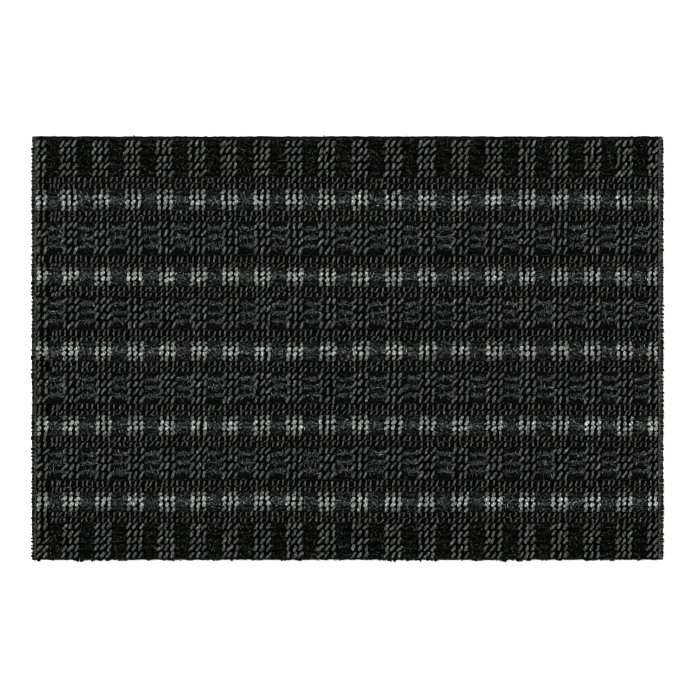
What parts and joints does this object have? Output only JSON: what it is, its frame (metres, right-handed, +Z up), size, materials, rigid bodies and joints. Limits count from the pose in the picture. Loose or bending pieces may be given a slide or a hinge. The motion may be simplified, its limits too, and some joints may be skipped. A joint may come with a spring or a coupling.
{
  "type": "door mat",
  "caption": "Rectangular woven door mat with a black rubber backing: dark cloth with light and dark cross bands, groups of slanted grey and white stitches, and side selvedges.",
  "frame": {"origin": "centre of the flat underside, where it rests on the floor", "axes": "+X along the long side, +Y towards the rear edge, the one at the top of a straight top view, +Z up out of the pile"},
  "size_m": [0.6, 0.4026, 0.007],
  "materials": {
    "black_rubber": "matte",
    "latex_bond": "matte",
    "ground_yarn": "matte",
    "black_yarn": "matte",
    "grey_yarn": "matte",
    "white_yarn": "matte",
    "green_grey_yarn": "matte",
    "binding_yarn": "matte",
    "selvedge_yarn": "matte"
  },
  "bodies": {
    "root": {"rubber_backing": "black_rubber", "bond_coat": "latex_bond", "ground_weft": "ground_yarn", "stuffer_warp": "ground_yarn", "chain_warp": "ground_yarn", "rear_end_black_yarn": "black_yarn", "rear_end_grey_yarn": "grey_yarn", "front_end_black_yarn": "black_yarn", "front_end_grey_yarn": "grey_yarn", "light_band_1_green_yarn": "green_grey_yarn", "light_band_1_grey_yarn": "grey_yarn", "light_band_1_white_yarn": "white_yarn", "light_band_2_green_yarn": "green_grey_yarn", "light_band_2_grey_yarn": "grey_yarn", "light_band_2_white_yarn": "white_yarn", "light_band_3_green_yarn": "green_grey_yarn", "light_band_3_grey_yarn": "grey_yarn", "light_band_3_white_yarn": "white_yarn", "light_band_4_green_yarn": "green_grey_yarn", "light_band_4_grey_yarn": "grey_yarn", "light_band_4_white_yarn": "white_yarn", "light_band_5_green_yarn": "green_grey_yarn", "light_band_5_grey_yarn": "grey_yarn", "light_band_5_white_yarn": "white_yarn", "mid_band_1_green_yarn": "green_grey_yarn", "mid_band_1_grey_yarn": "grey_yarn", "mid_band_2_green_yarn": "green_grey_yarn", "mid_band_2_grey_yarn": "grey_yarn", "mid_band_3_green_yarn": "green_grey_yarn", "mid_band_3_grey_yarn": "grey_yarn", "mid_band_4_green_yarn": "green_grey_yarn", "mid_band_4_grey_yarn": "grey_yarn", "binding_rows_1_black_yarn": "black_yarn", "binding_rows_1_grey_yarn": "binding_yarn", "binding_rows_2_black_yarn": "black_yarn", "binding_rows_2_grey_yarn": "binding_yarn", "binding_rows_3_black_yarn": "black_yarn", "binding_rows_3_grey_yarn": "binding_yarn", "binding_rows_4_black_yarn": "black_yarn", "binding_rows_4_grey_yarn": "binding_yarn", "binding_rows_5_black_yarn": "black_yarn", "binding_rows_5_grey_yarn": "binding_yarn", "binding_rows_6_black_yarn": "black_yarn", "binding_rows_6_grey_yarn": "binding_yarn", "binding_rows_7_black_yarn": "black_yarn", "binding_rows_7_grey_yarn": "binding_yarn", "binding_rows_8_black_yarn": "black_yarn", "binding_rows_8_grey_yarn": "binding_yarn", "binding_rows_9_black_yarn": "black_yarn", "binding_rows_9_grey_yarn": "binding_yarn", "binding_rows_10_black_yarn": "black_yarn", "binding_rows_10_grey_yarn": "binding_yarn", "left_selvedge": "selvedge_yarn", "right_selvedge": "selvedge_yarn", "rear_end_picks": "black_yarn", "front_end_picks": "black_yarn"}
  },
  "joints": []
}
